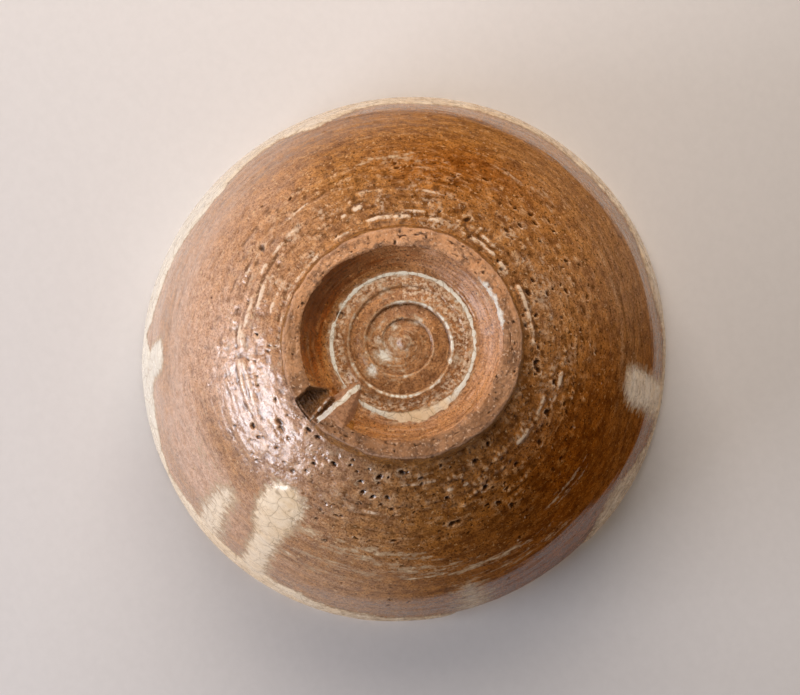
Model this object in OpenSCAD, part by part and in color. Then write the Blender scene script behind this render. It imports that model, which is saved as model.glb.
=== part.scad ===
// Tea bowl: thrown stoneware on a notched ring foot, amber outside and white inside,
// with white glaze that has run down from the lip
// The resting face of the foot lies at z = 0, the mouth opens upward and the notch faces -Y

/* [Bowl] */
// Diameter over the glazed lip
mouth_d = 125; // [112:1:142]
// Height from the resting face to the top of the lip
bowl_h = 72; // [66:1:84]
// Thickness of the glazed lip
lip_t = 4.4; // [3.4:0.2:6]
// Clay under the middle of the bowl
floor_t = 5; // [3:0.5:8]
// Diameter of the shallow dish in the floor of the bowl
dish_d = 44; // [34:1:50]

/* [Wall slopes in degrees] */
// Slope where the wall springs from the foot
spring_slope = 24; // [18:1:32]
// Slope where the round hip turns into the straighter wall
hip_slope = 70; // [66:1:73]
// Slope at the lip
lip_slope = 79; // [76:1:83]
// Slope at the edge of the dish
dish_slope = 14; // [9:1:19]

/* [Foot] */
// Outside diameter of the resting face
foot_d = 52; // [46:1:58]
// Height of the foot ring
foot_h = 6.5; // [5.5:0.5:9]
// Width of the resting face, roundings included
foot_face_w = 4.2; // [3.4:0.2:6]
// How much the ring widens outside from its face to the wall
foot_flare = 1.5; // [0.5:0.25:3]
// Rounding of both edges of the resting face
foot_round = 0.8; // [0.4:0.1:1.2]
// Width of the flat channel between the boss and the sloping side of the well
channel_w = 1.95; // [1.8:0.05:3]

/* [Notch] */
// Width of the floor of the notch
notch_floor_w = 5.2; // [4.4:0.2:8]
// Depth of the notch, from the resting face
notch_depth = 5.2; // [3:0.2:5.4]
// How far the slanting side of the notch leans out
notch_lean = 1.4; // [0.4:0.2:3]
// How far the steep side of the notch leans out
notch_draft = 0.3; // [0.1:0.1:1]

/* [Turned spiral] */
// Diameter of the boss left by the turning tool
boss_d = 30.6; // [27:0.2:31.2]
// Thickness of the boss
boss_t = 0.8; // [0.5:0.1:1.2]
// Diameter of the nub in the middle
nub_d = 5.2; // [3:0.2:7]
// Height of the nub above the boss
nub_h = 1.5; // [0.8:0.1:2.2]
// Radius at which the ridge starts
ridge_start_r = 5; // [4:0.2:6]
// Distance from the middle of the ridge's end to the edge of the boss
ridge_margin = 1.4; // [1.4:0.1:4]
// Turns of the ridge
ridge_turns = 2; // [1.5:0.25:3]
// Direction in which the ridge starts, in degrees
ridge_dir = 35; // [0:5:355]
// Width of the ridge at its root
ridge_w = 2; // [1.2:0.1:2.6]
// Height of the ridge above the boss
ridge_h = 0.8; // [0.4:0.1:1.2]

/* [Glaze] */
// Thickness of the amber coat
amber_t = 0.4; // [0.2:0.05:0.5]
// Thickness of the white glaze on the inside and the lip
white_t = 0.6; // [0.55:0.05:0.9]
// How far the white glaze reaches down the outside from the top of the lip
lip_band_h = 9; // [6:0.5:14]
// How far the lip's glaze reaches down the inside before the lining takes over
lip_inside_h = 6; // [5:0.5:12]
// Thickness of the runs over the amber coat
run_t = 0.7; // [0.4:0.1:1.2]
// Height above the resting face at which the glaze in the well starts
well_glaze_z = 1.8; // [1.6:0.2:3]
// Mean width of the white glaze pooled round the boss
pool_w = 0.75; // [0.5:0.05:0.85]
// Thickness of the pooled glaze
pool_t = 0.7; // [0.4:0.1:1]
// How far the pooled glaze has slumped to one side
pool_slump = 0.35; // [0:0.05:0.4]
// Direction in which it slumped, in degrees
pool_dir = 200; // [0:5:355]

/* [Runs of white glaze] */
// How far the long run hangs below the glaze of the lip, to the middle of its round end
long_run_l = 43.5; // [30:0.5:46]
// How far the short run beside it hangs
short_run_l = 28; // [15:0.5:42]
// How far the run on the right hangs
right_run_l = 16; // [8:0.5:40]
// How far the run on the back hangs
back_run_l = 34; // [15:0.5:42]
// How far the lobes of the lip hang
lobe_l = 3; // [1:0.5:8]

/* [Hidden] */
$fn = 96;

clay_colour = "#b5804f";
bare_clay_colour = "#c69468";
amber_colour = "#9a5f2e";
white_colour = "#e9dcc0";

// Cuts and prisms reach this far past the faces that they cross
overshoot = 2;
// Height of the ridge at its two ends, as a share of its full height
ridge_end_share = 0.2;
// Share of the ridge's length over which each end tapers
ridge_taper = 0.12;
// Stations along one turn of the ridge
ridge_steps = 40;
// Turn of an outline's round stretches from one point to the next, in degrees
bend_step = 3;
// Turn from point to point round the small curves of the lip and the foot
small_bend_step = 15;
// Height over which the root of a run narrows to its neck, at most half its length
root_h = 7;

// Rows for the runs: direction, half width of the round end, neck, root, and sideways lean to the end
long_run_form = [-111, 4.8, 6.2, 13, 2.8];
short_run_form = [-98, 3.0, 5.8, 11.5, 1.5];
right_run_form = [-60, 3.6, 7.0, 18, 2];
back_run_form = [131, 4.6, 8.2, 16, 1];
back_lobe_form = [155, 9.0, 16, 26, 0];
side_lobe_form = [12, 5.5, 11, 21, 0.5];
left_lobe_form = [197, 5.0, 9.0, 16, -0.5];

// Outward normal of a wall that climbs at slope a
function wall_normal(a) = [sin(a), -cos(a)];

// Point at slope a on an arc of the wall, arc = [centre, radius], moved outward by t
function on_wall(arc, a, t = 0) = arc[0] + (arc[1] + t) * wall_normal(a);

// Arc of radius r that has slope a at point p
function wall_arc(p, r, a) = [p - r * wall_normal(a), r];

// Radii of two tangent arcs that lead from p to q, with slopes a at p, b at the joint and c at q
function arc_radii(p, q, a, b, c) =
    let (first = wall_normal(b) - wall_normal(a),
         second = wall_normal(c) - wall_normal(b),
         way = q - p,
         det = first[0] * second[1] - first[1] * second[0])
    [(way[0] * second[1] - way[1] * second[0]) / det,
     (first[0] * way[1] - first[1] * way[0]) / det];

// Slope of an arc of the wall at height z
function slope_at(arc, z) = acos((arc[0][1] - z) / arc[1]);

// The two points where a rounding of radius r meets the sides of corner p, between a and b
function rounded_corner(a, p, b, r) =
    let (u = (a - p) / norm(a - p),
         v = (b - p) / norm(b - p),
         reach = r / tan(acos(u * v) / 2))
    [p + reach * u, p + reach * v];

// Lip: a round end of clay under the white glaze
lip_clay_r = lip_t / 2 - white_t;
lip_centre = [mouth_d / 2 - lip_t / 2, bowl_h - lip_t / 2];
lip_out = lip_centre + lip_clay_r * wall_normal(lip_slope);
lip_in = lip_centre - lip_clay_r * wall_normal(lip_slope);

// Outside of the clay: a round hip, then a straighter wall
spring = [foot_d / 2 + foot_flare, foot_h];
out_radii = arc_radii(spring, lip_out, spring_slope, hip_slope, lip_slope);
out_hip = wall_arc(spring, out_radii[0], spring_slope);
out_wall = wall_arc(lip_out, out_radii[1], lip_slope);

// Inside of the clay: a dished floor, a round hip, then a straighter wall
floor_z = foot_h + floor_t;
dish_r = dish_d / 2 / sin(dish_slope);
in_dish = [[0, floor_z + dish_r], dish_r];
dish_edge = on_wall(in_dish, dish_slope);
in_radii = arc_radii(dish_edge, lip_in, dish_slope, hip_slope, lip_slope);
in_hip = wall_arc(dish_edge, in_radii[0], dish_slope);
in_wall = wall_arc(lip_in, in_radii[1], lip_slope);

// Slopes at which the white glaze of the lip ends
band_slope = slope_at(out_wall, bowl_h - lip_band_h);
lining_slope = slope_at(in_wall, bowl_h - lip_inside_h);

// Foot ring: corners of its section
well_d = boss_d + 2 * channel_w;
well_top = [well_d / 2, foot_h];
face_in = [foot_d / 2 - foot_face_w, 0];
face_out = [foot_d / 2, 0];
boss_z = foot_h - boss_t;

// Points along an arc of the wall from slope a to slope b, moved outward by t
function arc_points(arc, a, b, t) =
    let (steps = max(2, ceil(abs(b - a) / bend_step)))
    [for (i = [0 : steps]) on_wall(arc, a + (b - a) * i / steps, t)];

// Points round a circle from direction a to direction b
function round_points(centre, r, a, b) =
    let (steps = ceil(abs(b - a) / small_bend_step))
    [for (i = [0 : steps]) centre + r * [cos(a + (b - a) * i / steps), sin(a + (b - a) * i / steps)]];

// The same points without the last, and in the other order
function but_last(points) = [for (i = [0 : len(points) - 2]) points[i]];
function turned_back(points) = [for (i = [len(points) - 1 : -1 : 0]) points[i]];

// Outside of the wall from the foot up to the lip's glaze, moved outward by t
function outside(t) =
    concat(but_last(arc_points(out_hip, spring_slope, hip_slope, t)),
           arc_points(out_wall, hip_slope, band_slope, t));

// Outside of the wall under the lip's glaze, moved outward by t
function outside_lip(t) = arc_points(out_wall, band_slope, lip_slope, t);

// Inside of the bowl from the middle of the floor up to the lip's glaze, moved into the bowl by t
function inside(t) =
    concat(but_last(arc_points(in_dish, 0, dish_slope, -t)),
           but_last(arc_points(in_hip, dish_slope, hip_slope, -t)),
           arc_points(in_wall, hip_slope, lining_slope, -t));

// Inside of the wall under the lip's glaze, moved into the bowl by t
function inside_lip(t) = arc_points(in_wall, lining_slope, lip_slope, -t);

// The round of the lip at radius r, from outside to inside
function lip_round(r) = round_points(lip_centre, r, lip_slope - 90, lip_slope + 90);

// Coat on the outside of the wall between distances s and t from the clay
module outside_coat(s, t) {
    rotate_extrude() polygon(concat(outside(t), turned_back(outside(s))));
}

// Notch through the ring, from the well to the outside, with the slanting side on the left
module notch_cut() {
    left = notch_floor_w / 2;
    drop = overshoot / notch_depth;
    translate([0, -boss_d / 2, 0])
        rotate([90, 0, 0])
            linear_extrude(height = spring[0] + overshoot - boss_d / 2)
                polygon([[left, notch_depth],
                         [-left, notch_depth],
                         [-left - notch_lean * (1 + drop), -overshoot],
                         [left + notch_draft * (1 + drop), -overshoot]]);
}

// Elevation of a run that hangs to depth l: root at the lip, neck and round end
module run_elevation(l, form) {
    half_end = form[1];
    half_neck = form[2] / 2;
    half_root = form[3] / 2;
    lean = form[4];
    top_z = bowl_h - lip_band_h;
    end_z = top_z - l;
    neck_z = top_z - min(root_h, l / 2);
    // The sides meet the round end a little inside its width
    tuck = 0.8 * half_end;
    translate([lean, end_z]) circle(half_end);
    polygon([[half_root, top_z + overshoot], [-half_root, top_z + overshoot],
             [-half_root, top_z], [-half_neck, neck_z], [lean - tuck, end_z],
             [lean + tuck, end_z], [half_neck, neck_z], [half_root, top_z]]);
}

// Run of white glaze that lies on the amber coat and hangs from the glaze of the lip
module glaze_run(l, form) {
    color(white_colour)
        rotate(form[0])
            intersection() {
                // The seam of the turned coat lies on the far side
                rotate(180) outside_coat(amber_t, amber_t + run_t);
                rotate([90, 0, 90])
                    linear_extrude(height = mouth_d / 2 + overshoot)
                        run_elevation(l, form);
            }
}

module bowl_body() {
    color(clay_colour)
        rotate_extrude()
            polygon(concat([[0, foot_h]],
                           but_last(outside(0)),
                           but_last(outside_lip(0)),
                           but_last(lip_round(lip_clay_r)),
                           but_last(turned_back(inside_lip(0))),
                           turned_back(inside(0))));
}

// Round of radius r at corner p of the foot's section, from the side of a to the side of b
function foot_corner(a, p, b, r) =
    let (ends = rounded_corner(a, p, b, r),
         first = (p - a) / norm(p - a),
         centre = ends[0] + r * [-first[1], first[0]],
         from = ends[0] - centre,
         to = ends[1] - centre,
         start = atan2(from[1], from[0]))
    round_points(centre, r, start, start + acos(from * to / (r * r)));

module foot_ring() {
    color(bare_clay_colour)
        difference() {
            rotate_extrude()
                polygon(concat([well_top],
                               foot_corner(well_top, face_in, face_out, foot_round),
                               foot_corner(face_in, face_out, spring, foot_round),
                               [spring]));
            notch_cut();
        }
}

module turned_boss() {
    boss_r = boss_d / 2;
    nub_r = nub_d / 2;
    nub_bend = (nub_r * nub_r + nub_h * nub_h) / (2 * nub_h);
    nub_side = asin(nub_r / nub_bend);
    nub_centre = [0, boss_z - nub_h + nub_bend];
    color(amber_colour)
        rotate_extrude()
            polygon(concat(round_points(nub_centre, nub_bend, -90, nub_side - 90),
                           [[boss_r, boss_z], [boss_r, foot_h], [0, foot_h]]));
}

// Ridge that winds out from the nub: a three sided sweep whose ends taper off
module spiral_ridge() {
    last = round(ridge_turns * ridge_steps);
    half = ridge_w / 2;
    ridge_end_r = boss_d / 2 - ridge_margin;
    points = [for (i = [0 : last])
        let (way = i / last,
             a = ridge_dir + 360 * ridge_turns * way,
             r = ridge_start_r + (ridge_end_r - ridge_start_r) * way,
             share = max(ridge_end_share, min(1, way / ridge_taper, (1 - way) / ridge_taper)))
        for (p = [[r - half, boss_z], [r, boss_z - ridge_h * share], [r + half, boss_z]])
            [p[0] * cos(a), p[0] * sin(a), p[1]]];
    sides = [for (i = [0 : last - 1])
        for (k = [0 : 2])
            let (near = 3 * i + k,
                 next = 3 * i + (k + 1) % 3)
            for (face = [[near, next + 3, next], [near, near + 3, next + 3]]) face];
    color(amber_colour)
        polyhedron(points, concat([[0, 1, 2]], sides, [[3 * last + 2, 3 * last + 1, 3 * last]]));
}

module amber_glaze() {
    color(amber_colour)
        outside_coat(0, amber_t);
}

// Amber coat on the sloping side of the well
module well_glaze() {
    fall = (face_in - well_top) / foot_h;
    low = well_top + (foot_h - well_glaze_z) * fall;
    // Thickness square to the slope, measured level
    level_t = amber_t * norm(fall);
    color(amber_colour)
        difference() {
            rotate_extrude()
                polygon([well_top, well_top - [level_t, 0], low - [level_t, 0], low]);
            notch_cut();
        }
}

module pooled_glaze() {
    color(white_colour)
        difference() {
            rotate(pool_dir)
                translate([pool_slump, 0, foot_h - pool_t])
                    cylinder(h = pool_t, d = boss_d + 2 * pool_w);
            translate([0, 0, foot_h - pool_t - overshoot])
                cylinder(h = pool_t + 2 * overshoot, d = boss_d);
        }
}

module white_lining() {
    color(white_colour)
        rotate_extrude()
            polygon(concat(inside(0), turned_back(inside(white_t))));
}

module lip_glaze() {
    color(white_colour)
        rotate_extrude()
            polygon(concat(but_last(outside_lip(white_t)),
                           but_last(lip_round(lip_t / 2)),
                           turned_back(inside_lip(white_t)),
                           but_last(inside_lip(0)),
                           but_last(turned_back(lip_round(lip_clay_r))),
                           turned_back(outside_lip(0))));
}

module long_run() glaze_run(long_run_l, long_run_form);
module short_run() glaze_run(short_run_l, short_run_form);
module right_run() glaze_run(right_run_l, right_run_form);
module back_run() glaze_run(back_run_l, back_run_form);
module back_lobe() glaze_run(lobe_l, back_lobe_form);
module side_lobe() glaze_run(lobe_l, side_lobe_form);
module left_lobe() glaze_run(lobe_l, left_lobe_form);

bowl_body();
foot_ring();
turned_boss();
spiral_ridge();
amber_glaze();
well_glaze();
pooled_glaze();
white_lining();
lip_glaze();
long_run();
short_run();
right_run();
back_run();
back_lobe();
side_lobe();
left_lobe();
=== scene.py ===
"""Tea bowl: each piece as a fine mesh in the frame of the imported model, with procedural glazes.

The photograph looks at the foot of the overturned bowl. Places on the bowl are given by their dial,
the angle at which the photograph shows them, in degrees clockwise from its right, and by s, the
distance in millimetres from the foot along the clay's section. Lanes are the grid's rows, from 0 to 1.
"""

import math

import bpy
import numpy as np
from mathutils import Matrix, Vector


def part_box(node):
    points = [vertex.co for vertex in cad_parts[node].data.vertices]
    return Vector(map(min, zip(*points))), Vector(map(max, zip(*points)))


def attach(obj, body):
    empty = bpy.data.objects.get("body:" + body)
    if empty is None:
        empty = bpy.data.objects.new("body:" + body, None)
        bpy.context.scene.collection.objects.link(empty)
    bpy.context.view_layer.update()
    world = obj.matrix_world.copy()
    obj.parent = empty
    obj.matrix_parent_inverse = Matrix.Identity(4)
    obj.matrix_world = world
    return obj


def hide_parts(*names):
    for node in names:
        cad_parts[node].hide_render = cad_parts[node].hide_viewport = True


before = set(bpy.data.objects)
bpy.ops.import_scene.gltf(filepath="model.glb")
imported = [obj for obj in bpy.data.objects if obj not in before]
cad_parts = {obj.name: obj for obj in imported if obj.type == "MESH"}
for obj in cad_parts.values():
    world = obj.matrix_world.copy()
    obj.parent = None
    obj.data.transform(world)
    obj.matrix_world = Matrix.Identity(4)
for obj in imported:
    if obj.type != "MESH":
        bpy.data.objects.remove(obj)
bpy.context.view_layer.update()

# Sizes in millimetres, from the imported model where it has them
MM = 0.001
lip_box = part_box("lip_glaze")
mouth_r = lip_box[1][0] / MM
bowl_h = lip_box[1][2] / MM
foot_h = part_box("bowl_body")[0][2] / MM
spring_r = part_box("foot_ring")[1][0] / MM
lip_t = 4.4
floor_t = 5.0
dish_r = 22.0
amber_t = 0.4
white_t = 0.6

# Slopes of the wall in degrees
spring_slope = 24.0
hip_slope = 70.0
lip_slope = 79.0
dish_slope = 14.0

# Direction round the bowl of dial 0, in degrees
dial_turn = 123.0


# Outline of the bowl

def wall_normal(slope):
    """Outward normal (r, z) of a wall that climbs at this slope."""
    bend = np.radians(slope)
    return np.array([np.sin(bend), -np.cos(bend)])


def arc_radii(p, q, a, b, c):
    """Radii of two tangent arcs from p to q, with slopes a at p, b at the joint and c at q."""
    steps = np.column_stack([wall_normal(b) - wall_normal(a), wall_normal(c) - wall_normal(b)])
    return np.linalg.solve(steps, q - p)


def bowl_section():
    """The clay's section as a chain of arcs: up the outside, over the lip and down to the floor's middle.

    Each arc is its centre, its radius, which is negative on the hollow side, and its first and last slope.
    """
    lip_r = lip_t / 2 - white_t
    lip_c = np.array([mouth_r - lip_t / 2, bowl_h - lip_t / 2])
    lip_out = lip_c + lip_r * wall_normal(lip_slope)
    lip_in = lip_c - lip_r * wall_normal(lip_slope)
    spring = np.array([spring_r, foot_h])
    hip_r, wall_r = arc_radii(spring, lip_out, spring_slope, hip_slope, lip_slope)
    dish_bend = dish_r / math.sin(math.radians(dish_slope))
    dish_c = np.array([0.0, foot_h + floor_t + dish_bend])
    dish_edge = dish_c + dish_bend * wall_normal(dish_slope)
    in_hip_r, in_wall_r = arc_radii(dish_edge, lip_in, dish_slope, hip_slope, lip_slope)
    back = 180.0
    return [
        (spring - hip_r * wall_normal(spring_slope), hip_r, spring_slope, hip_slope),
        (lip_out - wall_r * wall_normal(lip_slope), wall_r, hip_slope, lip_slope),
        (lip_c, lip_r, lip_slope, lip_slope + back),
        (lip_in - in_wall_r * wall_normal(lip_slope), -in_wall_r, lip_slope + back, hip_slope + back),
        (dish_edge - in_hip_r * wall_normal(dish_slope), -in_hip_r, hip_slope + back, dish_slope + back),
        (dish_c, -dish_bend, dish_slope + back, back),
    ]


SECTION = bowl_section()
ARC_LENGTHS = [abs(radius * math.radians(b - a)) for _, radius, a, b in SECTION]
LIP_START = sum(ARC_LENGTHS[:2])
LIP_END = sum(ARC_LENGTHS[:3])
SECTION_END = sum(ARC_LENGTHS)


def walk(s):
    """Radius, height and normal of the clay at distance s along its section."""
    s = np.asarray(s, dtype=float)
    r, z, slope = np.zeros((3, *s.shape))
    start = 0.0
    for (centre, radius, a, b), length in zip(SECTION, ARC_LENGTHS):
        share = (s - start) / length
        # The first arc also serves distances before its start
        here = share >= 0 if start > 0 else np.ones_like(s, dtype=bool)
        bend = a + (b - a) * np.minimum(share, 1)
        n = wall_normal(bend)
        r = np.where(here, centre[0] + radius * n[0], r)
        z = np.where(here, centre[1] + radius * n[1], z)
        slope = np.where(here, bend, slope)
        start += length
    return r, z, wall_normal(slope)


# Shape: waves, noise and marks

def ease(x):
    """0 to 1 with level ends."""
    x = np.clip(x, 0, 1)
    return x * x * (3 - 2 * x)


def bell(x):
    """1 at 0, fading on both sides."""
    return np.exp(-np.square(x))


def turned(dial, centre):
    """Angle from centre to dial in degrees, from -180 to 180."""
    return (np.asarray(dial) - centre + 180) % 360 - 180


def by_dial(dial, centre, width):
    """1 at a dial, fading round the bowl on both sides."""
    return bell(turned(dial, centre) / width)


def ring_curve(points, dial):
    """Smooth closed curve through rows of dial and value."""
    at, value = np.array([*points, points[0]], dtype=float).T
    at[-1] += 360
    angle = at[0] + (np.asarray(dial) - at[0]) % 360
    i = np.clip(np.searchsorted(at, angle, side="right") - 1, 0, len(at) - 2)
    share = ease((angle - at[i]) / (at[i + 1] - at[i]))
    return value[i] + (value[i + 1] - value[i]) * share


def between(grid, x, y, curve=ease):
    """Value of a grid at places between its knots. The grid closes on itself both ways."""
    rows, columns = grid.shape
    i = np.floor(x).astype(int)
    j = np.floor(y).astype(int)
    fx = curve(x - i)
    fy = curve(y - j)

    def lane(row):
        return grid[row % rows, i % columns] * (1 - fx) + grid[row % rows, (i + 1) % columns] * fx

    return lane(j) * (1 - fy) + lane(j + 1) * fy


def lattice(dial, way, cells_round, cells_along, seed):
    """Smooth noise from -1 to 1. It closes round the bowl, and way runs from 0 to 1."""
    knots = np.random.default_rng(seed).uniform(-1, 1, (cells_along + 2, cells_round))
    return between(knots, np.asarray(dial) / 360 % 1 * cells_round, np.clip(way, 0, 1) * cells_along)


def plane_noise(x, y, cell, seed):
    """Smooth noise from -1 to 1 over a plane, with knots a cell apart."""
    knots_on_side = 64
    knots = np.random.default_rng(seed).uniform(-1, 1, (knots_on_side, knots_on_side))
    return between(knots, x / cell, y / cell)


# Waves of the hand-shaped rim, and rise and fall of the lip: count, height in mm and dial of a crest
RIM_WAVES = [(0, -0.14, 0), (1, 0.73, -4), (2, 0.95, -49), (3, 0.09, -50), (4, 0.10, 28)]
LIP_WAVES = [(2, 0.25, 70), (3, 0.2, 15)]


def waves(rows, dial):
    """Sum of waves round the bowl."""
    return sum(height * np.cos(np.radians(count * turned(dial, crest))) for count, height, crest in rows)


def place(dial, r, z):
    """Points of the warped bowl. The rim is out of round and its lip rises and falls a little."""
    dial, r, z = np.broadcast_arrays(dial, r, z)
    share = np.clip((z - foot_h) / (bowl_h - foot_h), 0, 1.05)
    r = r + waves(RIM_WAVES, dial) * share ** 1.5 * np.clip(r / 30, 0, 1)
    z = z + waves(LIP_WAVES, dial) * share ** 4
    turn = np.radians(dial + dial_turn)
    return np.stack([r * np.cos(turn), r * np.sin(turn), z], axis=-1)


def on_bowl(dial, s, lift):
    """Points at height lift above the clay, at distance s along the section."""
    r, z, n = walk(s)
    return place(dial, np.maximum(r + lift * n[0], 0.0), z + lift * n[1])


# Meshes

def ring_grid(columns, ways):
    """Grids of the dials all round and of these ways, one row for each way."""
    return np.meshgrid(np.arange(columns) * 360 / columns, ways)


def grid_quads(rows, columns, wrap):
    """Quads of a grid whose points run row by row, closed round its columns if wrap is set."""
    i = np.arange(rows - 1)[:, None] * columns
    j = np.arange(columns if wrap else columns - 1)[None, :]
    k = (j + 1) % columns
    return np.stack([i + j, i + k, i + columns + k, i + columns + j], axis=-1).reshape(-1, 4)


def strip_quads(first, second, wrap):
    """Quads between two rows of point numbers."""
    if wrap:
        first = np.append(first, first[0])
        second = np.append(second, second[0])
    return np.stack([first[:-1], second[:-1], second[1:], first[1:]], axis=-1)


def closed_shell(top, bottom, wrap=True, hub=False):
    """Points and faces of a closed shell between two grids of points with the same columns.

    With hub set, the first row closes on a point in its middle instead of on the other grid.
    """
    rows, columns = top.shape[:2]
    low_rows = bottom.shape[0]
    first = rows * columns
    points = np.concatenate([top.reshape(-1, 3), bottom.reshape(-1, 3)])
    faces = [grid_quads(rows, columns, wrap), grid_quads(low_rows, columns, wrap)[:, ::-1] + first]
    top_rows = np.arange(first).reshape(rows, columns)
    bottom_rows = np.arange(low_rows * columns).reshape(low_rows, columns) + first
    faces.append(strip_quads(top_rows[-1], bottom_rows[-1], wrap)[:, ::-1])
    fans = []
    if hub:
        hubs = np.array([top[0].mean(axis=0), bottom[0].mean(axis=0)])
        points = np.concatenate([points, hubs])
        ring = np.arange(columns)
        after = (ring + 1) % columns
        fans.append(np.stack([np.full(columns, len(points) - 2), after, ring], axis=-1))
        fans.append(np.stack([np.full(columns, len(points) - 1), ring + first, after + first], axis=-1))
    else:
        faces.append(strip_quads(top_rows[0], bottom_rows[0], wrap))
    if not wrap:
        faces.append(strip_quads(top_rows[:, 0], bottom_rows[:, 0], False)[:, ::-1])
        faces.append(strip_quads(top_rows[:, -1], bottom_rows[:, -1], False))
    return points, [f for block in faces + fans for f in block.tolist()]


def volume_of(points, faces):
    """Signed volume within the faces."""
    total = 0.0
    for size in (3, 4):
        block = np.array([f for f in faces if len(f) == size])
        for k in range(1, size - 1):
            if len(block):
                a, b, c = points[block[:, 0]], points[block[:, k]], points[block[:, k + 1]]
                total += np.einsum("ij,ij->", a, np.cross(b, c)) / 6
    return total


def add_piece(name, shell, material, nodes, marks):
    """A closed mesh with its marks as attributes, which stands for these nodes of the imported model."""
    points, faces = shell
    if volume_of(points, faces) < 0:
        faces = [f[::-1] for f in faces]
    mesh = bpy.data.meshes.new(name)
    mesh.from_pydata((points * MM).tolist(), [], faces)
    mesh.update()
    mesh.polygons.foreach_set("use_smooth", np.ones(len(mesh.polygons), dtype=bool))
    for mark, values in marks.items():
        flat = np.zeros(len(points))
        flat[:values.size] = values.ravel()
        layer = mesh.attributes.new(mark, "FLOAT", "POINT")
        layer.data.foreach_set("value", flat)
    mesh.materials.append(material)
    piece = bpy.data.objects.new(name, mesh)
    bpy.context.scene.collection.objects.link(piece)
    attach(piece, "root")
    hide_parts(*nodes)


# Relief of the outer wall

# Ridges that the turning tool left near the foot: s, dials of the ends, height in mm
TURNING_RIDGES = [
    (1.6, 250, 294, 0.55), (2.2, 330, 362, 0.62), (1.4, 296, 332, 0.52), (5.2, 243, 258, 0.34),
    (7.6, 192, 218, 0.36), (7.4, 18, 42, 0.40), (7.4, 58, 74, 0.34), (9.6, 150, 232, 0.36),
    (11.0, 150, 190, 0.40), (10.0, 8, 24, 0.34), (9.4, 238, 300, 0.18), (13.2, 196, 240, 0.18),
    (12.0, 88, 112, 0.22), (4.6, 60, 100, 0.16), (3.4, 190, 226, 0.24), (16.5, 255, 330, 0.12),
    (3.2, 262, 318, 0.24), (0.6, 186, 250, 0.22),
]
ridge_w = 0.4
throwing_pitch = 6.5
throwing_h = 0.07


def strewn(count, seed, dials, reach, near_foot, sizes):
    """Marks strewn on the wall: rows of dial, s, half length, depth share and slant."""
    rng = np.random.default_rng(seed)
    dial = rng.uniform(dials[0], dials[1], count)
    s = reach[0] + (reach[1] - reach[0]) * rng.uniform(0, 1, count) ** near_foot
    size = sizes[0] + (sizes[1] - sizes[0]) * rng.uniform(0, 1, count) ** 2.2
    return np.stack([dial, s, size, rng.uniform(0.5, 1, count), rng.uniform(-60, 60, count)], axis=-1)


# Pits: large ones placed where the photograph shows them, as dial, s, half length, depth and slant
PITS = np.concatenate([
    [
        (148, 5.6, 1.3, 0.6, 20), (152, 12.6, 0.9, 1.0, -30), (138, 0.9, 0.9, 1.0, 10),
        (100, 2.8, 0.9, 1.0, 50), (107, 5.0, 0.7, 0.9, 20), (120, 3.6, 0.9, 1.0, -20),
        (127, 6.4, 0.7, 0.9, 30), (58, 3.6, 0.8, 1.0, 0), (101, 8.0, 0.8, 0.9, 40),
        (35, 20.5, 0.8, 0.8, 10), (46, 11.0, 0.7, 0.8, 0), (340, 8.2, 0.8, 0.8, 0),
        (314, 17.5, 0.9, 0.8, 60), (74, 17.0, 1.0, 0.8, 10), (215, 13.6, 1.3, 0.7, 80),
        (233, 18.6, 0.9, 0.7, 30), (112, 26.0, 0.8, 0.9, 20), (90, 31.0, 0.8, 0.8, 0),
        (58, 33.5, 0.7, 0.9, 40), (268, 16.0, 0.8, 0.7, 10),
    ],
    strewn(84, 13, (50, 150), (0.5, 22.0), 1.0, (0.3, 0.95)),
    strewn(130, 11, (0, 360), (0.5, 28.0), 1.2, (0.3, 0.65)),
    strewn(130, 12, (0, 360), (4.0, 66.0), 0.9, (0.28, 0.5)),
    strewn(90, 17, (-75, 60), (0.5, 24.0), 1.1, (0.35, 1.05)),
])
pit_depth = 0.75
burr_h = 0.16

# Short ridges dragged along the wall by grit under the tool
DRAGS = np.concatenate([
    strewn(30, 14, (165, 265), (2.5, 19.0), 1.0, (0.7, 3.0)),
    strewn(26, 15, (0, 360), (1.0, 24.0), 1.2, (0.6, 2.4)),
    strewn(16, 16, (10, 70), (4.0, 16.0), 1.0, (1.0, 3.6)),
    strewn(22, 18, (-75, 60), (1.0, 22.0), 1.3, (0.8, 3.4)),
])
drag_h = 0.45


def near_mark(dial, s, r, at, way, reach_round, reach_along):
    """Window of the grid near a mark, and its points' distances round and along the wall from the mark."""
    columns = np.flatnonzero(np.abs(np.radians(turned(dial[0], at))) * (spring_r + 0.6 * way) < reach_round)
    lanes = np.flatnonzero(np.abs(s[:, 0] - way) < reach_along)
    window = np.ix_(lanes, columns)
    return window, np.radians(turned(dial[window], at)) * r[window], s[window] - way


def pit_field(dial, s, r):
    """Depth of the pits, from 0 to 1, and the raised lip that the tool tore up beside each."""
    depth, burr = np.zeros((2, *s.shape))
    for at, way, half, share, slant in PITS:
        window, x, y = near_mark(dial, s, r, at, way, 3.2 * half, 2.6 * half)
        tilt = math.radians(slant)
        u = (x * math.cos(tilt) + y * math.sin(tilt)) / half
        v = (y * math.cos(tilt) - x * math.sin(tilt)) / (0.62 * half)
        q = np.hypot(u, v)
        depth[window] = np.maximum(depth[window], share * np.clip(1 - q * q, 0, 1) ** 0.8)
        side = 0.5 + 0.5 * np.tanh(2 * u)
        burr[window] = np.maximum(burr[window], share * side * bell((q - 1.25) / 0.3))
    return depth, burr


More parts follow.
